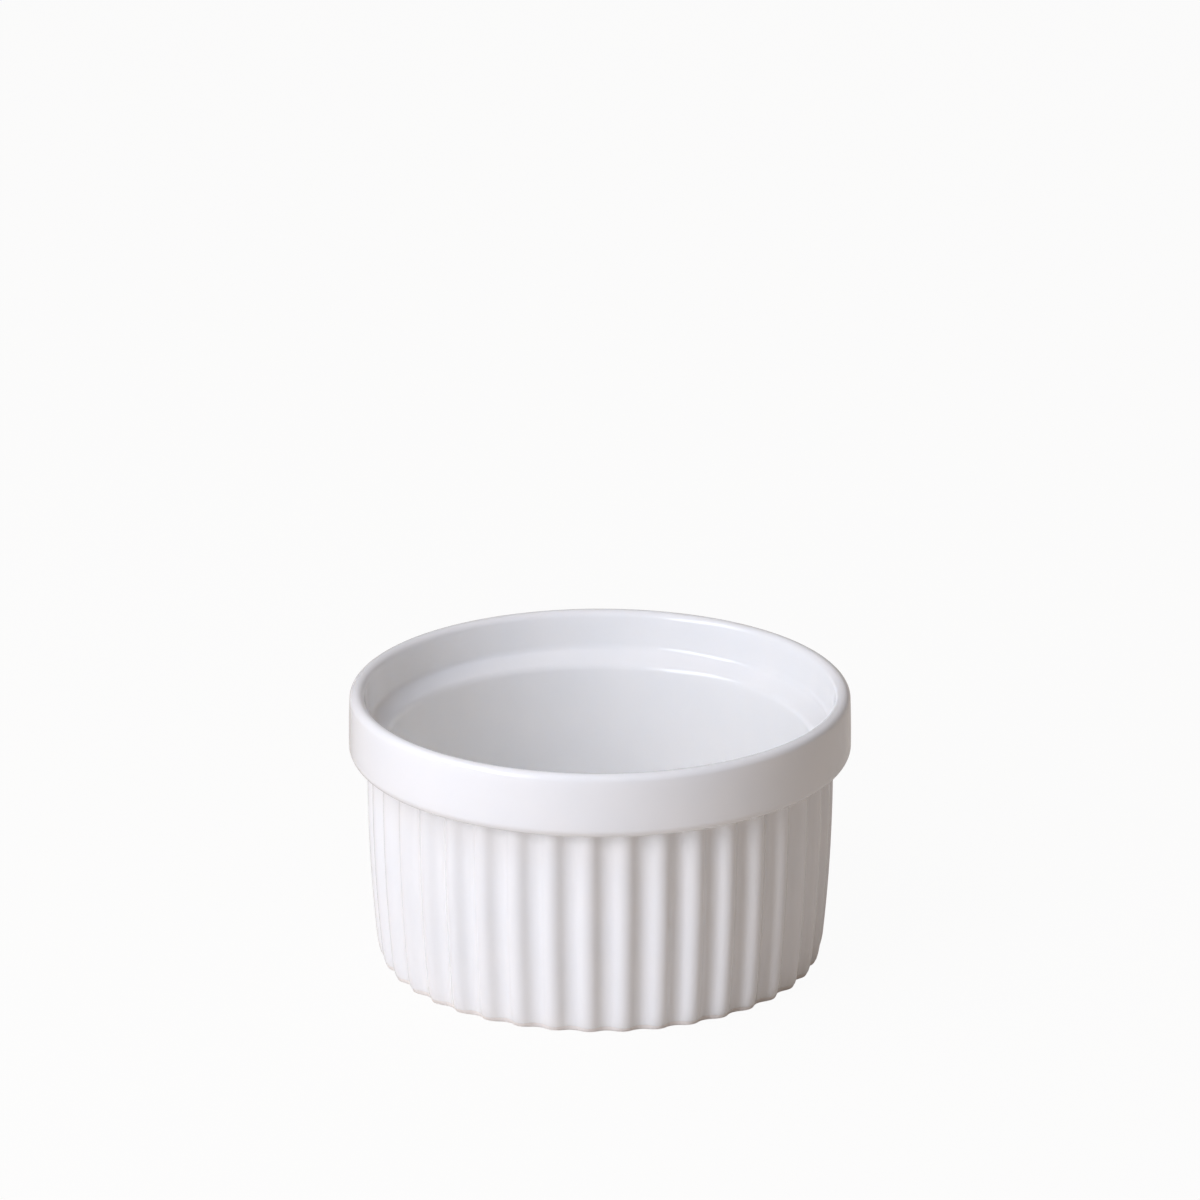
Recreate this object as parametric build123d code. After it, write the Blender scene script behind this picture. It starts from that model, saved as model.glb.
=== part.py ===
from build123d import *
import os
from math import acos, asin, atan2, cos, degrees, hypot, radians, sin, sqrt

# Fluted souffle ramekin in glazed porcelain: the fired body, the glaze over it, the glaze under its base.
# Millimetres. The origin is the centre of the base, +Z is up, and a groove faces -Y.

# Overall
rim_height = 50.0          # foot to top of lip
collar_radius = 45.0       # widest, on the collar's face

# Collar and lip
collar_height = 11.6       # lip top to the collar's underside
collar_overhang = 3.2      # collar's face beyond the rib crests below it
shoulder_radius = 1.7      # rounding from the collar's face to its underside
lip_radius = 1.35          # half the lip's thickness, a full round
lip_lean = 0.2             # how far the collar's face leans in at the lip

# Fluted wall, between the collar and the foot
rib_count = 40
rib_depth = 1.4            # crest to groove
rib_width_share = 0.46     # the rib's share of a pitch, the groove has the rest
foot_fade = 0.65           # how much shallower the grooves are at the foot's edge
foot_taper = 1.3           # how much narrower the crests are just above the foot
belly = 0.5                # how far the crest line bows out of its taper
foot_round_width = 0.9     # rounding at the foot, inwards
foot_round_height = 4.2    # rounding at the foot, upwards
belly_shares = (0.0, 0.33, 0.67, 1.0)
foot_round_angles = (30.0, 60.0, 90.0)

# Bowl and ledge
wall = 3.9                 # rib crest to bowl, just under the ledge
collar_wall = 3.3          # collar's face to the bore, where the ledge starts
ledge_depth = 6.15         # lip top to where the ledge starts to curve
ledge_hollow_radius = 1.5  # hollow between the bore and the ledge
ledge_edge_radius = 1.8    # rounded edge between the ledge and the bowl
ledge_incline = 31.5       # slope of the ledge between the two, in degrees from level
bowl_draft = 2.5           # lean of the bowl's wall, in degrees
floor_round = 8.0          # bowl wall into floor
floor_thickness = 3.8      # floor above the recess underneath

# Foot
recess_radius = 34.2       # recess inside the foot ring
recess_depth = 1.2
recess_round = 0.5

# Glaze
glaze = 0.3                # thickness of both fields of glaze
glaze_line = 0.9           # height of the glaze's lower edge outside, on the foot
recess_glaze_line = 0.6    # and inside the foot ring
overrun = 1.0              # how far a cut runs past what it cuts
overlap = 0.3              # how deep joined solids sit in each other

# Levels and radii that follow
collar_base = rim_height - collar_height
ribs_top = collar_base + overrun
crest_radius_top = collar_radius - collar_overhang
bowl_radius = crest_radius_top - wall
bore_radius = collar_radius - collar_wall
ledge_top = rim_height - ledge_depth
floor_level = recess_depth + floor_thickness
half_pitch = 360.0 / rib_count / 2

# The collar's face is a long arc from its shoulder to the lip, tangent to both
face_level = collar_base + shoulder_radius
lip_centre = (collar_radius - lip_lean - lip_radius, rim_height - lip_radius)
face_lean = 2 * atan2(lip_lean, lip_centre[1] - face_level)
face_radius = (lip_centre[1] - face_level) / sin(face_lean) + lip_radius

# The bore flares from the ledge to the lip. The ledge is a hollow, a straight slope and a rounded edge.
lip_out = lip_centre[0] - bore_radius
lip_up = lip_centre[1] - ledge_top
bore_flare = atan2(lip_out, lip_up) - asin(lip_radius / hypot(lip_out, lip_up))
ledge_normal = 90 - ledge_incline
ledge_radii = ledge_hollow_radius + ledge_edge_radius
ledge_reach = bore_radius - ledge_hollow_radius * cos(bore_flare) - bowl_radius - ledge_edge_radius
ledge_straight = (ledge_reach + ledge_radii * cos(radians(ledge_normal))) / sin(radians(ledge_normal))


def polar(radius, angle):
    return (radius * cos(radians(angle)), radius * sin(radians(angle)))


# Crest radius and rib depth at a level: a bowed taper, and at the foot the crests turn in along a quarter
# ellipse while the grooves, which get shallower there, turn in less.
def crest_line(level):
    share = (level - foot_round_height) / (ribs_top - foot_round_height)
    line = crest_radius_top - foot_taper * (1 - share) + 4 * belly * share * (1 - share)
    low = max(0, 1 - level / foot_round_height)
    turned = 1 - sqrt(1 - low ** 2)
    return line - foot_round_width * turned, rib_depth - foot_fade * turned


# One level of the fluted wall: round ribs and round grooves that meet tangent to each other.
# The two radii together follow from the pitch and the depth, and the inset moves both arcs inwards.
def fluted_section(level, inset):
    crest_radius, depth = crest_line(level)
    groove_radius = crest_radius - depth
    chord = 4 * sin(radians(half_pitch) / 2) ** 2
    square = -chord * rib_width_share * (1 - rib_width_share)
    linear = chord * ((1 - rib_width_share) * crest_radius - rib_width_share * groove_radius) - 2 * depth
    fixed = chord * crest_radius * groove_radius + depth ** 2
    both_radii = (-linear - sqrt(linear ** 2 - 4 * square * fixed)) / (2 * square)
    rib_radius = rib_width_share * both_radii
    rib_centre = crest_radius - rib_radius
    groove_centre = groove_radius + both_radii - rib_radius
    across = groove_centre * sin(radians(half_pitch)) / both_radii
    along = (groove_centre * cos(radians(half_pitch)) - rib_centre) / both_radii
    join_x = rib_centre + (rib_radius - inset) * along
    join_y = (rib_radius - inset) * across
    join_radius = hypot(join_x, join_y)
    join_angle = degrees(acos(join_x / join_radius))

    arcs = []
    for rib in range(rib_count):
        middle = (2 * rib + 1) * half_pitch - 90
        start = polar(join_radius, middle - join_angle)
        crest = polar(crest_radius - inset, middle)
        end = polar(join_radius, middle + join_angle)
        groove = polar(groove_radius - inset, middle + half_pitch)
        following = polar(join_radius, middle + 2 * half_pitch - join_angle)
        arcs += [ThreePointArc(start, crest, end), ThreePointArc(end, groove, following)]
    return Pos(0, 0, level) * make_face(arcs)


# Levels of the wall's sections, from the foot up: closer together where it turns in.
def section_levels():
    low = [foot_round_height * (1 - sin(radians(angle))) for angle in reversed(foot_round_angles)]
    high = [foot_round_height + (ribs_top - foot_round_height) * share for share in belly_shares]
    return low + high


def revolved(outline):
    return revolve(Plane.XZ * make_face(outline), Axis.Z)


# The line inside the wall where the fluted ring and the plain pot are joined: its radius at the foot's
# edge and above the foot's rounding.
def join_line(inwards):
    crest_at_edge, depth_at_edge = crest_line(0)
    crest_above, depth_above = crest_line(foot_round_height)
    foot = crest_at_edge - depth_at_edge - glaze - overlap - inwards
    middle = (bowl_radius + crest_above - depth_above) / 2 - inwards
    return foot, middle


# The pot's section outside: up the join line, under the collar, round its shoulder and up its face.
# The inset moves every surface into the clay, so round outsides get a smaller radius and hollows a larger.
def outside_section(inset):
    shoulder_centre = (collar_radius - shoulder_radius, face_level)
    face_centre = (collar_radius - face_radius, face_level)
    shoulder = CenterArc(shoulder_centre, shoulder_radius - inset, -90, 90)
    face = CenterArc(face_centre, face_radius - inset, 0, degrees(face_lean))
    foot, middle = join_line(0)
    underside = (middle, collar_base + inset)
    up = Polyline((0, 0), (foot, 0), (middle, foot_round_height), underside, shoulder @ 0)
    return [up, shoulder, face]


# Over the lip, down the flared bore, through the ledge's hollow and over its edge into the bowl.
def inside_section(inset):
    flare = degrees(bore_flare)
    hollow_centre = (
        bore_radius - ledge_hollow_radius * cos(bore_flare),
        ledge_top + ledge_hollow_radius * sin(bore_flare),
    )
    ledge_drop = ledge_radii * sin(radians(ledge_normal)) + ledge_straight * cos(radians(ledge_normal))
    edge_centre = (bowl_radius + ledge_edge_radius, hollow_centre[1] - ledge_drop)
    lip_arc = 180 - flare - degrees(face_lean)
    lip = CenterArc(lip_centre, lip_radius - inset, degrees(face_lean), lip_arc)
    hollow = CenterArc(hollow_centre, ledge_hollow_radius + inset, -flare, flare - ledge_normal)
    edge = CenterArc(edge_centre, ledge_edge_radius - inset, 180 - ledge_normal, ledge_normal - bowl_draft)

    draft = radians(bowl_draft)
    round_level = floor_level + floor_round
    leaned = (edge_centre[1] - round_level) * sin(draft)
    round_radius = edge_centre[0] - (ledge_edge_radius + floor_round + leaned) / cos(draft)
    floor = CenterArc((round_radius, round_level), floor_round + inset, -bowl_draft, bowl_draft - 90)
    bottom = Polyline(floor @ 1, (0, floor_level - inset), (0, 0))
    ledge = [hollow, Line(hollow @ 1, edge @ 0), edge]
    return [lip, Line(lip @ 1, hollow @ 0), *ledge, Line(edge @ 1, floor @ 0), floor, bottom]


# Collar, lip, ledge, bowl and floor in one, plain all round.
def plain_pot(inset):
    return revolved(outside_section(inset) + inside_section(inset))


# The fluted wall as a ring, open inside, from the foot up into the collar.
def fluted_ring(inset):
    top = ribs_top + overrun
    foot, middle = join_line(overlap)
    bore = Polyline((0, 0), (foot, 0), (middle, foot_round_height), (middle, top), (0, top), (0, 0))
    sections = [fluted_section(level, inset) for level in section_levels()]
    return loft(sections, ruled=True) - revolved(bore)


def vessel(inset):
    return plain_pot(inset) + fluted_ring(inset)


# The recess inside the foot ring, and the patch of glaze that lines it down to its own glaze line.
def recess_arc(thickness):
    centre = (recess_radius - recess_round, recess_depth - recess_round)
    return CenterArc(centre, recess_round + thickness, 0, 90)


def recess():
    rounding = recess_arc(0)
    sides = Polyline((0, recess_depth), (0, -overrun), (recess_radius, -overrun), rounding @ 0)
    return revolved([sides, rounding, Line(rounding @ 1, (0, recess_depth))])


def glaze_patch():
    lower = recess_arc(0)
    upper = recess_arc(glaze)
    edge = recess_glaze_line
    rim = Polyline(lower @ 0, (recess_radius, edge), (recess_radius + glaze, edge), upper @ 0)
    middle = Polyline(upper @ 1, (0, recess_depth + glaze), (0, recess_depth), lower @ 1)
    return revolved([lower, rim, upper, middle])


whole = vessel(0)
clay = vessel(glaze)
below_line = Cylinder(collar_radius, glaze_line, align=(Align.CENTER, Align.CENTER, Align.MIN))

underside_glaze = glaze_patch()
porcelain_body = clay + (whole & below_line) - recess() - underside_glaze
glaze_coat = whole - clay - below_line

os.makedirs("parts", exist_ok=True)
pieces = {
    "porcelain_body": porcelain_body,
    "glaze_coat": glaze_coat,
    "underside_glaze": underside_glaze,
}
for name, piece in pieces.items():
    export_step(piece, f"parts/{name}.step")
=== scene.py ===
import math
import bpy
import mathutils
import numpy as np
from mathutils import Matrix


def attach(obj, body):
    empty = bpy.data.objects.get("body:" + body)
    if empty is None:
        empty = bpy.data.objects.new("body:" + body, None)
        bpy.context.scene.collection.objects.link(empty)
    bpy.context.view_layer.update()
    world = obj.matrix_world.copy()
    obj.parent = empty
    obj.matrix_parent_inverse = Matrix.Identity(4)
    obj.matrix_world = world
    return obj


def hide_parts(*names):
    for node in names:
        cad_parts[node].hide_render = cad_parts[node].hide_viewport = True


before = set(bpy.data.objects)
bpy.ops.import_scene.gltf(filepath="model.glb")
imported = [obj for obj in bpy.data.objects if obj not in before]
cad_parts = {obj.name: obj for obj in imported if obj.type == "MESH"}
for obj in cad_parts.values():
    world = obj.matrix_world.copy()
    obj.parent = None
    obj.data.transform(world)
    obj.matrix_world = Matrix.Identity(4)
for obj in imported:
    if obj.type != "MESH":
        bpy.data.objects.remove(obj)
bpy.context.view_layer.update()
print("frame loaded, nodes:", sorted(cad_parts))

millimetre = 0.001

# The pot's own form in millimetres and degrees, the same values as in the part's source
potForm = {
    "rimHeight": 50.0,
    "collarRadius": 45.0,
    "collarHeight": 11.6,       # lip top to the collar's underside
    "collarOverhang": 3.2,      # collar's face beyond the rib crests
    "shoulderRadius": 1.7,      # round from the collar's face to its underside
    "underFillet": 0.5,         # small hollow where the ribs run into the collar
    "lipRadius": 1.35,          # half the lip's thickness
    "lipLean": 0.2,             # how far the collar's face leans in at the lip
    "ribCount": 40,
    "ribDepth": 1.4,            # crest to groove
    "ribShare": 0.46,           # the rib's share of a pitch
    "ribOverrun": 1.0,          # how far the line of the crests runs on into the collar
    "footFade": 0.65,           # how much shallower the grooves are at the foot's edge
    "footTaper": 1.3,           # how much narrower the crests are just above the foot
    "belly": 0.5,               # how far the line of the crests bows out of its taper
    "footRoundWidth": 0.9,
    "footRoundHeight": 4.2,
    "wall": 3.9,                # rib crest to bowl
    "collarWall": 3.3,          # collar's face to bore
    "ledgeDepth": 6.15,         # lip top to where the ledge begins
    "ledgeHollow": 1.5,         # hollow between the bore and the ledge
    "ledgeEdge": 1.8,           # rounded edge between the ledge and the bowl
    "ledgeIncline": 31.5,       # slope of the ledge between the two, in degrees from level
    "bowlDraft": 2.5,
    "floorRound": 8.0,          # bowl's wall into its floor
    "floorLevel": 5.0,
    "recessRadius": 34.2,
    "recessDepth": 1.2,
    "recessRound": 0.5,
    "glaze": 0.3,
    "glazeLine": 0.9,           # lower edge of the glaze above the table, outside
    "recessGlazeLine": 0.6,     # and inside the foot ring
}

# How finely the pot is divided: columns round a rib, and rows along each stretch of the profile
potGrid = {
    "perRib": 16,
    "crowding": 1.5,     # power that crowds the foot's rows low down, where it turns in most
    "bead": 4,
    "fine": {"foot": 10, "ribs": 12, "fillet": 7, "shoulder": 12, "face": 5, "lip": 14,
             "bore": 4, "hollow": 9, "edge": 11, "bowl": 6, "round": 10, "floor": 5},
    "plain": {"foot": 5, "ribs": 4, "fillet": 3, "shoulder": 5, "face": 2, "lip": 6,
              "bore": 2, "hollow": 3, "edge": 4, "bowl": 2, "round": 4, "floor": 2},
}


# Even steps from start to end without the start, as a column of rows.
def steps(start, end, rows):
    share = np.arange(1, rows + 1)[:, None] / rows
    return start + (end - start) * share


# Values as a column of rows.
def column(*values):
    return np.array(values, dtype=float)[:, None]


# Crest radius and rib depth by height: a taper with a slight bow, and towards the foot the crests
# draw in along a quarter ellipse while the grooves draw in a little less.
def crestLine(height):
    form = potForm
    topRadius = form["collarRadius"] - form["collarOverhang"]
    footHeight = form["footRoundHeight"]
    top = form["rimHeight"] - form["collarHeight"] + form["ribOverrun"]
    share = (height - footHeight) / (top - footHeight)
    line = topRadius - form["footTaper"] * (1 - share) + 4 * form["belly"] * share * (1 - share)
    low = np.clip((footHeight - height) / footHeight, 0, 1)
    turned = 1 - np.sqrt(1 - low ** 2)
    return line - form["footRoundWidth"] * turned, form["ribDepth"] - form["footFade"] * turned


# Radius of the fluted wall: round ribs and round grooves tangent to each other. On a rib it is the
# far crossing of the ray at that angle with the rib's circle, in a groove the near crossing with
# the groove's circle. The two circles' radii together solve a quadratic equation.
def flutedRadius(height, theta, inset):
    form = potForm
    half = math.pi / form["ribCount"]
    share = form["ribShare"]
    crestRadius, depth = crestLine(height)
    grooveRadius = crestRadius - depth
    chord = 4 * math.sin(half / 2) ** 2
    square = -chord * share * (1 - share)
    linear = chord * ((1 - share) * crestRadius - share * grooveRadius) - 2 * depth
    fixed = chord * crestRadius * grooveRadius + depth ** 2
    bothRadii = (-linear - np.sqrt(linear ** 2 - 4 * square * fixed)) / (2 * square)
    ribRound = share * bothRadii
    grooveRound = bothRadii - ribRound
    ribCentre = crestRadius - ribRound
    grooveCentre = grooveRadius + grooveRound
    across = grooveCentre * math.sin(half) / bothRadii
    along = (grooveCentre * math.cos(half) - ribCentre) / bothRadii
    insetRib, insetGroove = ribRound - inset, grooveRound + inset
    joinAngle = np.arctan2(insetRib * across, ribCentre + insetRib * along)

    fromGroove = np.abs((theta + math.pi / 2 + half) % (2 * half) - half)
    fromRib = half - fromGroove
    ribReach = np.maximum(insetRib ** 2 - (ribCentre * np.sin(fromRib)) ** 2, 0)
    grooveReach = np.maximum(insetGroove ** 2 - (grooveCentre * np.sin(fromGroove)) ** 2, 0)
    onRib = ribCentre * np.cos(fromRib) + np.sqrt(ribReach)
    inGroove = grooveCentre * np.cos(fromGroove) - np.sqrt(grooveReach)
    return np.where(fromRib <= joinAngle, onRib, inGroove)


# The profile from the glaze line up the ribs, under the collar and up its face, over the lip, down
# the bore, over the ledge and along the bowl to the middle of its floor. Each stretch is a line or
# an arc tangent to its neighbours. The inset moves every stretch into the clay. Returns radius and
# height as arrays of rows by columns.
def potProfile(theta, inset, lowest, rows):
    form = potForm
    radii, heights = [], []

    def stretch(radius, height):
        shape = (max(np.shape(radius)[0], np.shape(height)[0]), theta.size)
        radii.append(np.broadcast_to(radius, shape))
        heights.append(np.broadcast_to(height, shape))

    def arc(centreR, centreZ, radius, start, end, count):
        angle = steps(start, end, count)
        stretch(centreR + radius * np.cos(angle), centreZ + radius * np.sin(angle))

    # A straight run on from the last point so far
    def line(endR, endZ, count):
        lastR, lastZ = radii[-1][-1, 0], heights[-1][-1, 0]
        stretch(steps(lastR, endR, count), steps(lastZ, endZ, count))

    # Ribbed wall, fillet, the collar's flat underside and its shoulder
    underside = form["rimHeight"] - form["collarHeight"]
    fillet = form["underFillet"] + inset
    filletR = flutedRadius(column(underside), theta, inset) + fillet
    filletZ = underside + inset - fillet
    shoulder = form["shoulderRadius"]
    shoulderR = form["collarRadius"] - shoulder
    shoulderZ = underside + shoulder
    footHeight = form["footRoundHeight"]
    crowding = potGrid["crowding"]
    climb = np.vstack([column(0.0), steps(0.0, footHeight - lowest, rows["foot"])])
    level = lowest + climb ** crowding / (footHeight - lowest) ** (crowding - 1)
    stretch(flutedRadius(level, theta, inset), level)
    level = steps(footHeight, filletZ, rows["ribs"])
    stretch(flutedRadius(level, theta, inset), level)
    arc(filletR, filletZ, fillet, np.pi, np.pi / 2, rows["fillet"])
    stretch(column(shoulderR), column(underside + inset))
    arc(shoulderR, shoulderZ, shoulder - inset, -np.pi / 2, 0.0, rows["shoulder"])

    # The collar's face is a long arc that leans in to the lip
    lip = form["lipRadius"]
    lipR = form["collarRadius"] - form["lipLean"] - lip
    lipZ = form["rimHeight"] - lip
    lean = 2 * math.atan2(form["lipLean"], lipZ - shoulderZ)
    face = (lipZ - shoulderZ) / math.sin(lean) + lip
    arc(form["collarRadius"] - face, shoulderZ, face - inset, 0.0, lean, rows["face"])

    # Lip, and the bore that flares from the ledge's hollow to it
    boreR = form["collarRadius"] - form["collarWall"]
    ledgeZ = form["rimHeight"] - form["ledgeDepth"]
    out, up = lipR - boreR, lipZ - ledgeZ
    flare = math.atan2(out, up) - math.asin(lip / math.hypot(out, up))
    hollowR = boreR - form["ledgeHollow"] * math.cos(flare)
    hollowZ = ledgeZ + form["ledgeHollow"] * math.sin(flare)
    hollow = form["ledgeHollow"] + inset
    arc(lipR, lipZ, lip - inset, lean, np.pi - flare, rows["lip"])
    line(hollowR + hollow * math.cos(flare), hollowZ - hollow * math.sin(flare), rows["bore"])

    # Ledge: hollow, straight slope and rounded edge
    bowlR = form["collarRadius"] - form["collarOverhang"] - form["wall"]
    slope = math.radians(90 - form["ledgeIncline"])
    draft = math.radians(form["bowlDraft"])
    both = form["ledgeHollow"] + form["ledgeEdge"]
    edge = form["ledgeEdge"] - inset
    edgeR = bowlR + form["ledgeEdge"]
    straight = (hollowR + both * math.cos(slope) - edgeR) / math.sin(slope)
    edgeZ = hollowZ - both * math.sin(slope) - straight * math.cos(slope)
    arc(hollowR, hollowZ, hollow, -flare, -slope, rows["hollow"])
    line(edgeR - edge * math.cos(slope), edgeZ + edge * math.sin(slope), 1)
    arc(edgeR, edgeZ, edge, np.pi - slope, np.pi - draft, rows["edge"])

    # Bowl's wall, rounding and floor
    roundZ = form["floorLevel"] + form["floorRound"]
    leaned = (edgeZ - roundZ) * math.sin(draft)
    roundR = edgeR - (form["ledgeEdge"] + form["floorRound"] + leaned) / math.cos(draft)
    bowl = form["floorRound"] + inset
    line(roundR + bowl * math.cos(draft), roundZ - bowl * math.sin(draft), rows["bowl"])
    arc(roundR, roundZ, bowl, -draft, -np.pi / 2, rows["round"])
    floorR = steps(roundR, 0.0, rows["floor"])[:-1]
    stretch(floorR, np.full_like(floorR, roundZ - bowl))
    return np.vstack(radii), np.vstack(heights)


# Half an ellipse between two rows of points, bulging down: the rounded lower edge of the glaze.
def beadRows(fromR, fromZ, toR, toZ, bulge):
    angle = steps(0.0, np.pi, potGrid["bead"] + 1)[:-1]
    middleR, middleZ = (fromR + toR) / 2, (fromZ + toZ) / 2
    halfR, halfZ = (fromR - toR) / 2, (fromZ - toZ) / 2
    beadR = middleR + halfR * np.cos(angle)
    return beadR, middleZ + halfZ * np.cos(angle) - bulge * np.sin(angle)


# Radius and height along the rounding of the recess inside the foot ring, moved into the clay.
def recessCorner(inset, count):
    form = potForm
    turn = steps(0.0, np.pi / 2, count)
    reach = form["recessRound"] + inset
    radius = form["recessRadius"] - form["recessRound"] + reach * np.cos(turn)
    return radius, form["recessDepth"] - form["recessRound"] + reach * np.sin(turn)


# Closed mesh from profile rows: each point goes round the axis at its column's angle. Rows are
# joined by quads, and the first and last row each by triangles to a pole on the axis.
def turnedMesh(name, theta, radii, heights, poles):
    rows, columns = radii.shape
    rings = np.stack([radii * np.cos(theta), radii * np.sin(theta), heights], axis=-1)
    points = np.vstack([rings.reshape(-1, 3), [[0.0, 0.0, height] for height in poles]])
    here = np.arange(columns)
    following = np.roll(here, -1)
    below = np.arange(rows - 1)[:, None] * columns
    above = below + columns
    corners = [below + here, below + following, above + following, above + here]
    faces = np.stack(corners, axis=-1).reshape(-1, 4).tolist()
    lastRow, firstPole = (rows - 1) * columns, rows * columns
    caps = [(following, here, firstPole), (lastRow + here, lastRow + following, firstPole + 1)]
    for left, right, pole in caps:
        faces += np.stack([left, right, np.full(columns, pole)], axis=-1).tolist()
    mesh = bpy.data.meshes.new(name)
    mesh.from_pydata((points * millimetre).tolist(), [], faces)
    mesh.update()
    mesh.shade_smooth()
    piece = bpy.data.objects.new(name, mesh)
    bpy.context.scene.collection.objects.link(piece)
    print(name, "made:", len(mesh.polygons), "faces")
    return piece


# Angles of evenly spaced columns round the axis, as a row.
def evenTurn(count):
    return np.arange(count)[None, :] * 2 * math.pi / count


# The pot's own columns start at the front groove
potTurn = evenTurn(potForm["ribCount"] * potGrid["perRib"]) - math.pi / 2


# sRGB hex to linear, since Blender's colour sockets are linear.
def linearColour(hexText):
    channels = np.array([int(hexText[i:i + 2], 16) for i in (1, 3, 5)]) / 255
    curve = ((channels + 0.055) / 1.055) ** 2.4
    linear = np.where(channels <= 0.04045, channels / 12.92, curve)
    return (*linear.tolist(), 1.0)


# Adds a node. Its sockets go by name or number: a value sets one, and an output links to it.
def addNode(tree, kind, sockets=None, **settings):
    node = tree.nodes.new(kind)
    for key, value in settings.items():
        setattr(node, key, value)
    for key, value in (sockets or {}).items():
        if isinstance(value, bpy.types.NodeSocket):
            tree.links.new(value, node.inputs[key])
        else:
            node.inputs[key].default_value = value
    return node


def newMaterial(name):
    material = bpy.data.materials.new(name)
    material.use_nodes = True
    material.node_tree.nodes.clear()
    return material, material.node_tree


# Noise fixed to the pot, from the size of its blotches in millimetres and its finer detail.
def noiseOver(tree, size, detail):
    place = addNode(tree, "ShaderNodeTexCoord").outputs["Object"]
    sockets = {"Vector": place, "Scale": 1 / (size * millimetre), "Detail": detail}
    return addNode(tree, "ShaderNodeTexNoise", sockets).outputs["Fac"]


# One tone fading to another. On a colour mix node these are sockets 6 and 7, and output 2.
def toneBetween(tree, share, first, second):
    sockets = {"Factor": share, 6: linearColour(first), 7: linearColour(second)}
    return addNode(tree, "ShaderNodeMix", sockets, data_type="RGBA").outputs[2]


# Glossy clear glaze over white porcelain, dipped and fired: smooth as glass, so it mirrors the
# window sharply, with a faint swell where the glaze ran and a cooler tone where it lies thick.
glazeFinish = {
    "thin": "#F9F8F6",
    "thick": "#F3F4F4",
    "roughness": (0.04, 0.08),
    "ior": 1.5,
    "swell": 9.0,        # mm across a wave of run glaze
    "swellBump": {"Strength": 0.25, "Distance": 0.0002},    # distances are in metres
    "peel": 1.6,         # mm across the fine unevenness
    "peelBump": {"Strength": 0.1, "Distance": 0.00005},
    "detail": 1.0,       # of both kinds of noise
}


def glazeMaterial():
    finish = glazeFinish
    material, tree = newMaterial("glossGlazeOnPorcelain")
    swell = noiseOver(tree, finish["swell"], finish["detail"])
    peel = noiseOver(tree, finish["peel"], finish["detail"])
    tone = toneBetween(tree, swell, finish["thin"], finish["thick"])
    low, high = finish["roughness"]
    gloss = addNode(tree, "ShaderNodeMapRange", {"Value": swell, "To Min": low, "To Max": high})
    wave = addNode(tree, "ShaderNodeBump", {"Height": swell, **finish["swellBump"]})
    fine = addNode(tree, "ShaderNodeBump", {"Height": peel, "Normal": wave.outputs["Normal"],
                                            **finish["peelBump"]})
    surface = addNode(tree, "ShaderNodeBsdfPrincipled", {
        "Base Color": tone, "Roughness": gloss.outputs["Result"], "IOR": finish["ior"],
        "Normal": fine.outputs["Normal"]})
    addNode(tree, "ShaderNodeOutputMaterial", {"Surface": surface.outputs["BSDF"]})
    return material


# Bare fired porcelain: matt, faintly gritty and warmer than the glaze, rubbed grey where it stands.
biscuitFinish = {
    "clean": "#F6F2EE",
    "rubbed": "#E9E3DD",
    "roughness": 0.72,
    "ior": 1.5,
    "grit": 0.45,        # mm, drawn a little coarser than the real grains so that it shows
    "gritDetail": 2.0,
    "gritBump": {"Strength": 0.5, "Distance": 0.0001},
    "rubbing": 5.0,      # mm across a rubbed patch
    "rubbingDetail": 4.0,
}


def biscuitMaterial():
    finish = biscuitFinish
    material, tree = newMaterial("bareFiredPorcelain")
    grit = noiseOver(tree, finish["grit"], finish["gritDetail"])
    rubbing = noiseOver(tree, finish["rubbing"], finish["rubbingDetail"])
    tone = toneBetween(tree, rubbing, finish["clean"], finish["rubbed"])
    bump = addNode(tree, "ShaderNodeBump", {"Height": grit, **finish["gritBump"]})
    surface = addNode(tree, "ShaderNodeBsdfPrincipled", {
        "Base Color": tone, "Roughness": finish["roughness"], "IOR": finish["ior"],
        "Normal": bump.outputs["Normal"]})
    addNode(tree, "ShaderNodeOutputMaterial", {"Surface": surface.outputs["BSDF"]})
    return material


glazeGloss = glazeMaterial()
biscuitMatt = biscuitMaterial()
print("materials made")

# The glaze over the outside and the bowl: an outer skin, and an inner one the glaze's thickness
# below it.
glazeSkin = {
    "name": "glazeSkin",
    "bead": 0.12,        # mm, how far the glaze's lower edge bulges
}


def makeGlazeSkin():
    bead, glaze, floor = glazeSkin["bead"], potForm["glaze"], potForm["floorLevel"]
    lowest = potForm["glazeLine"] + bead
    outerR, outerZ = potProfile(potTurn, 0.0, lowest, potGrid["fine"])
    innerR, innerZ = potProfile(potTurn, glaze, lowest, potGrid["plain"])
    beadR, beadZ = beadRows(innerR[:1], innerZ[:1], outerR[:1], outerZ[:1], bead)
    radii = np.vstack([innerR[::-1], beadR, outerR])
    heights = np.vstack([innerZ[::-1], beadZ, outerZ])
    piece = turnedMesh(glazeSkin["name"], potTurn, radii, heights, (floor - glaze, floor))
    piece.data.materials.append(glazeGloss)
    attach(piece, "root")
    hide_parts("glaze_coat")


# The fired clay body. Only its foot shows: the flat ring that it stands on and a narrow band up to
# the glaze.
biscuitPot = {
    "name": "biscuitPot",
    "clearance": 0.02,   # mm between the clay and the glaze over it
    "bandInset": 0.06,   # mm that the bare band lies behind the glaze's face
    "footEdge": 0.15,    # mm, worn rounding at both edges of the standing ring
    "bandRows": 6,
    "turnRows": 5,
    "rings": (0.6, 0.25),    # rows across the recess, as shares of its radius
}


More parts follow.
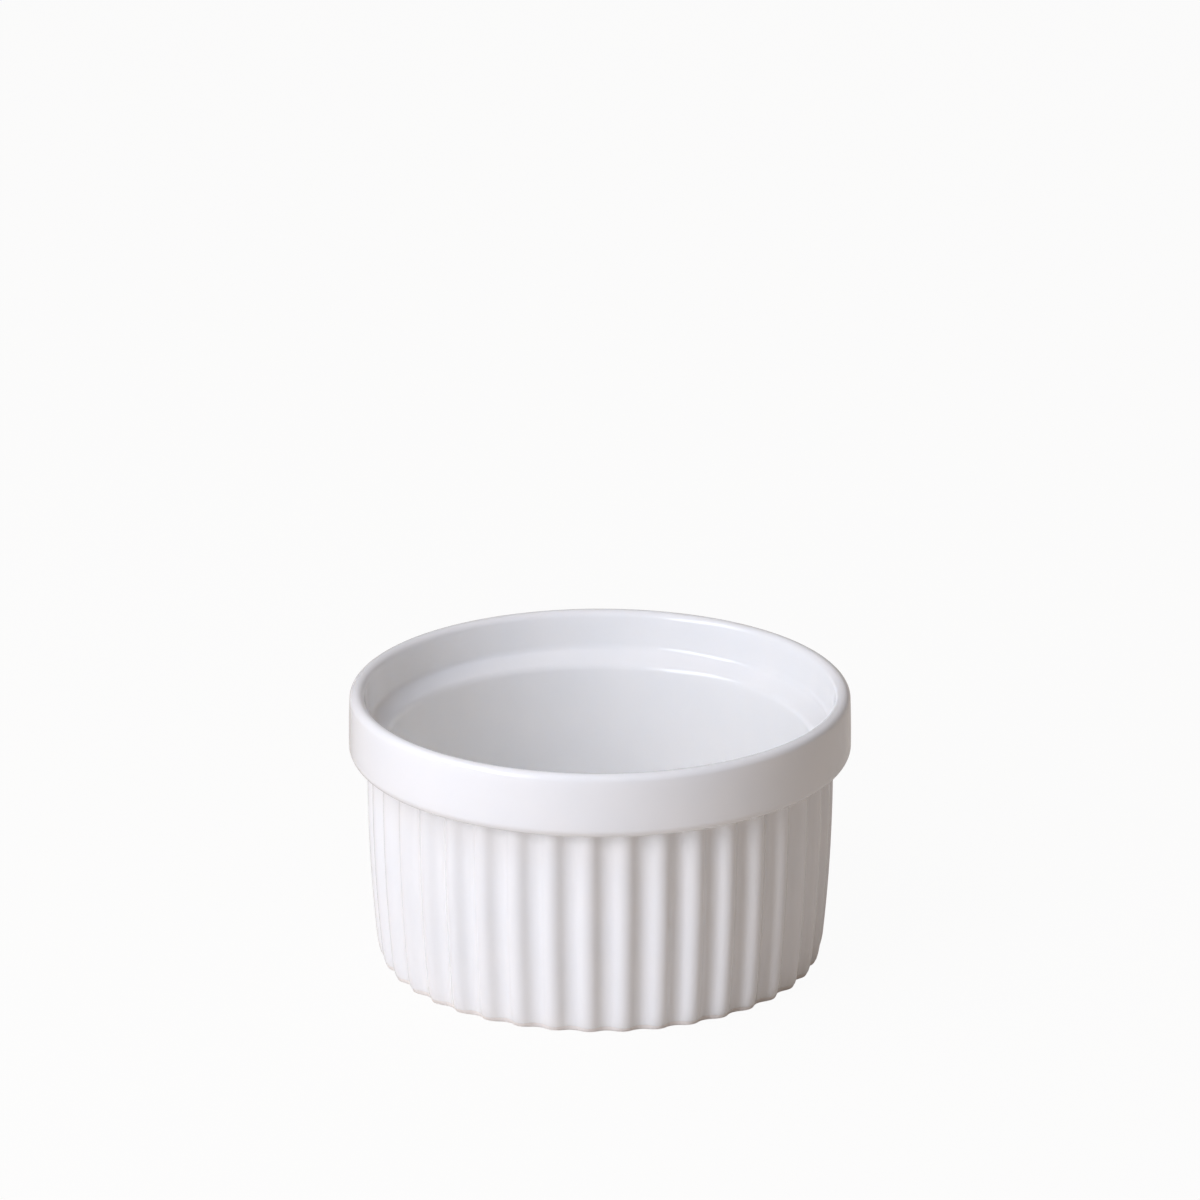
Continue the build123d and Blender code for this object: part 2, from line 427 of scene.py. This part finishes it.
def makeBiscuitPot():
    form, part = potForm, biscuitPot
    under = form["glaze"] + part["clearance"]
    line = form["glazeLine"] + glazeSkin["bead"]
    edge, inset = part["footEdge"], part["bandInset"]
    clayR, clayZ = potProfile(potTurn, under, line, potGrid["plain"])

    # Bare band, which turns under along a quarter circle below the worn edge's height
    level = steps(0.0, line, part["bandRows"])
    low = np.clip(1 - level / edge, 0, 1)
    bandR = flutedRadius(level, potTurn, inset) - edge * (1 - np.sqrt(1 - low ** 2))
    bandZ = np.broadcast_to(level, bandR.shape)
    standR = flutedRadius(column(0.0), potTurn, inset) - edge

    # Under the foot, from the inner edge of the standing ring to the middle of the recess
    recess, ceiling = form["recessRadius"], form["recessDepth"] + under
    inside, seam = recess + under, form["recessGlazeLine"]
    turn = steps(0.0, np.pi / 2, part["turnRows"])
    cornerR, cornerZ = recessCorner(under, part["turnRows"])
    rings = recess * column(*part["rings"])
    underR = [column(recess + edge), recess + edge - edge * np.sin(turn),
              column(recess, inside, inside), cornerR, rings]
    underZ = [column(0.0), edge - edge * np.cos(turn),
              column(seam, seam + part["clearance"], form["recessDepth"] - form["recessRound"]),
              cornerZ, np.full_like(rings, ceiling)]
    spread = np.ones_like(potTurn)
    radii = np.vstack([(np.vstack(underR) * spread)[::-1], standR, bandR, clayR])
    heights = np.vstack([(np.vstack(underZ) * spread)[::-1], np.zeros_like(standR), bandZ, clayZ])
    poles = (ceiling, form["floorLevel"] - under)
    piece = turnedMesh(part["name"], potTurn, radii, heights, poles)
    piece.data.materials.append(biscuitMatt)
    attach(piece, "root")
    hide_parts("porcelain_body")


# The glaze inside the foot ring: a shallow dish upside down, the glaze's thickness deep.
undersideGlaze = {
    "name": "undersideGlaze",
    "columns": 256,
    "bead": 0.1,         # mm, how far its lower edge bulges
    "turnRows": 8,
    "rings": (0.8, 0.5, 0.2),    # rows across the recess, as shares of its radius
}


def makeUndersideGlaze():
    form, part = potForm, undersideGlaze
    turn = evenTurn(part["columns"])
    recess, depth, thick = form["recessRadius"], form["recessDepth"], form["glaze"]
    line = form["recessGlazeLine"] + part["bead"]
    rings = recess * column(*part["rings"])

    def dish(inset):
        cornerR, cornerZ = recessCorner(inset, part["turnRows"])
        radius = np.vstack([column(recess + inset), cornerR, rings])
        return radius, np.vstack([column(line), cornerZ, np.full_like(rings, depth + inset)])

    lowerR, lowerZ = dish(0.0)
    upperR, upperZ = dish(thick)
    beadR, beadZ = beadRows(lowerR[:1], lowerZ[:1], upperR[:1], upperZ[:1], part["bead"])
    spread = np.ones_like(turn)
    radii = np.vstack([lowerR[::-1], beadR, upperR]) * spread
    heights = np.vstack([lowerZ[::-1], beadZ, upperZ]) * spread
    piece = turnedMesh(part["name"], turn, radii, heights, (depth, depth + thick))
    piece.data.materials.append(glazeGloss)
    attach(piece, "root")
    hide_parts("underside_glaze")


makeGlazeSkin()
makeBiscuitPot()
makeUndersideGlaze()

# Floor and backdrop: plain and pale, lifted near to white for the camera so that only a faint
# shadow is left
studioFloor = {
    "name": "studioFloor",
    "colour": "#D3CAC0",
    "halfWidth": 6.0,    # metres
    "lift": 0.95,        # share of plain white that the camera sees
    "mirrored": 0.22,    # the same as seen in the glaze
}


def makeFloor():
    name, half = studioFloor["name"], studioFloor["halfWidth"]
    mesh = bpy.data.meshes.new(name)
    corners = [(-half, -half, 0), (half, -half, 0), (half, half, 0), (-half, half, 0)]
    mesh.from_pydata(corners, [], [(0, 1, 2, 3)])
    floor = bpy.data.objects.new(name, mesh)
    bpy.context.scene.collection.objects.link(floor)
    material, tree = newMaterial("palePaper")
    matt = addNode(tree, "ShaderNodeBsdfDiffuse", {"Color": linearColour(studioFloor["colour"])})
    white = addNode(tree, "ShaderNodeEmission")
    path = addNode(tree, "ShaderNodeLightPath")
    shares = [(path.outputs["Is Camera Ray"], studioFloor["lift"]),
              (path.outputs["Is Glossy Ray"], studioFloor["mirrored"])]
    seen, mirrored = [addNode(tree, "ShaderNodeMath", {0: ray, 1: share}, operation="MULTIPLY")
                      for ray, share in shares]
    lift = addNode(tree, "ShaderNodeMath", {
        0: seen.outputs["Value"], 1: mirrored.outputs["Value"]}, operation="MAXIMUM")
    both = addNode(tree, "ShaderNodeMixShader", {
        0: lift.outputs["Value"], 1: matt.outputs["BSDF"], 2: white.outputs["Emission"]})
    addNode(tree, "ShaderNodeOutputMaterial", {"Surface": both.outputs["Shader"]})
    mesh.materials.append(material)
    print("floor made")


makeFloor()

# Camera at the photograph's angle, about a metre away and looking down at 19 degrees
photoCamera = {
    "name": "photoCamera",
    "lens": 162.0,
    "sensor": 36.0,
    "nearest": 0.01,     # metres, as are the distance and the height
    "distance": 0.908949,
    "height": 0.376939,
    "pitch": 0.329,      # radians below level
    "turn": math.radians(1.65),    # to the left of -Y: the front groove stands right of the middle
}


def makeCamera():
    name, turn, distance = photoCamera["name"], photoCamera["turn"], photoCamera["distance"]
    data = bpy.data.cameras.new(name)
    data.sensor_width = photoCamera["sensor"]
    data.lens = photoCamera["lens"]
    data.clip_start = photoCamera["nearest"]
    camera = bpy.data.objects.new(name, data)
    across, along = math.sin(turn), math.cos(turn)
    camera.location = (-distance * across, -distance * along, photoCamera["height"])
    camera.rotation_euler = (math.pi / 2 - photoCamera["pitch"], 0.0, -turn)
    bpy.context.scene.collection.objects.link(camera)
    bpy.context.scene.camera = camera
    print("camera made")


makeCamera()

# Studio light from the left of the camera: a window that shows only as the glaze's highlights, and
# four soft panels that only light the pot, bluer from high up and warmer from the side. Azimuth is
# from the camera's side round to its left, elevation above the table and roll about the panel's
# own axis, all in degrees. The size is in metres.
lights = {
    "window": {"azimuth": 58, "elevation": 35, "roll": -30, "size": (0.62, 0.28),
               "colour": (2.6, 2.9, 3.1), "use": "highlights"},
    "lowPanel": {"azimuth": 40, "elevation": 12, "roll": 0, "size": (0.3, 0.26),
                 "colour": (1.07, 1.17, 1.36), "use": "light"},
    "mainPanel": {"azimuth": 40, "elevation": 32, "roll": 0, "size": (0.3, 0.26),
                  "colour": (1.44, 1.42, 1.54), "use": "light"},
    "highPanel": {"azimuth": 50, "elevation": 60, "roll": 0, "size": (0.3, 0.26),
                  "colour": (0.36, 0.60, 0.97), "use": "light"},
    "sidePanel": {"azimuth": 80, "elevation": 52, "roll": 0, "size": (0.3, 0.26),
                  "colour": (0.79, 0.68, 0.53), "use": "light"},
}
lightDistance = 0.7
lightAim = mathutils.Vector((0.0, 0.0, 0.03))


def makeLights():
    for name, panel in lights.items():
        azimuth = math.radians(panel["azimuth"]) + photoCamera["turn"]
        elevation, roll = math.radians(panel["elevation"]), math.radians(panel["roll"])
        level = math.cos(elevation)
        towards = mathutils.Vector((
            -math.sin(azimuth) * level, -math.cos(azimuth) * level, math.sin(elevation)))
        data = bpy.data.lights.new(name, "AREA")
        data.shape = "RECTANGLE"
        data.size, data.size_y = panel["size"]
        data.energy = max(panel["colour"])
        data.color = [channel / data.energy for channel in panel["colour"]]
        lamp = bpy.data.objects.new(name, data)
        lamp.visible_glossy = panel["use"] == "highlights"
        lamp.visible_diffuse = panel["use"] == "light"
        lamp.location = lightAim + towards * lightDistance
        lamp.rotation_mode = "QUATERNION"
        facing = towards.to_track_quat("Z", "Y")
        lamp.rotation_quaternion = mathutils.Quaternion(towards, roll) @ facing
        bpy.context.scene.collection.objects.link(lamp)
    print("lights made:", len(lights))


makeLights()

# The room: a soft light from all round, weakest just above the table. The first tone also stands
# for all that is below the horizon. The camera itself sees plain white behind the floor.
room = {
    "levels": (0.0, 0.05, 0.6, 0.95),    # sines of the elevations that the tones belong to
    "tones": ((0.36, 0.35, 0.34), (0.16, 0.12, 0.11), (0.36, 0.35, 0.34), (0.41, 0.34, 0.31)),
    "seen": (1.0, 1.0, 1.0),
}


def makeWorld():
    world = bpy.data.worlds.new("paleRoom")
    bpy.context.scene.world = world
    world.use_nodes = True
    tree = world.node_tree
    tree.nodes.clear()
    direction = addNode(tree, "ShaderNodeTexCoord").outputs["Generated"]
    upward = addNode(tree, "ShaderNodeSeparateXYZ", {"Vector": direction}).outputs["Z"]
    walls = addNode(tree, "ShaderNodeValToRGB", {"Fac": upward})
    ramp = walls.color_ramp.elements
    for level in room["levels"][1:-1]:
        ramp.new(level)
    for stop, level, tone in zip(ramp, room["levels"], room["tones"]):
        stop.position = level
        stop.color = (*tone, 1.0)
    glow = addNode(tree, "ShaderNodeBackground", {"Color": walls.outputs["Color"]})
    seen = addNode(tree, "ShaderNodeBackground", {"Color": (*room["seen"], 1.0)})
    path = addNode(tree, "ShaderNodeLightPath")
    both = addNode(tree, "ShaderNodeMixShader", {
        0: path.outputs["Is Camera Ray"], 1: glow.outputs["Background"],
        2: seen.outputs["Background"]})
    addNode(tree, "ShaderNodeOutputWorld", {"Surface": both.outputs["Shader"]})
    print("room made")


makeWorld()

bpy.context.scene.view_settings.view_transform = "Standard"
bpy.context.scene.view_settings.look = "None"
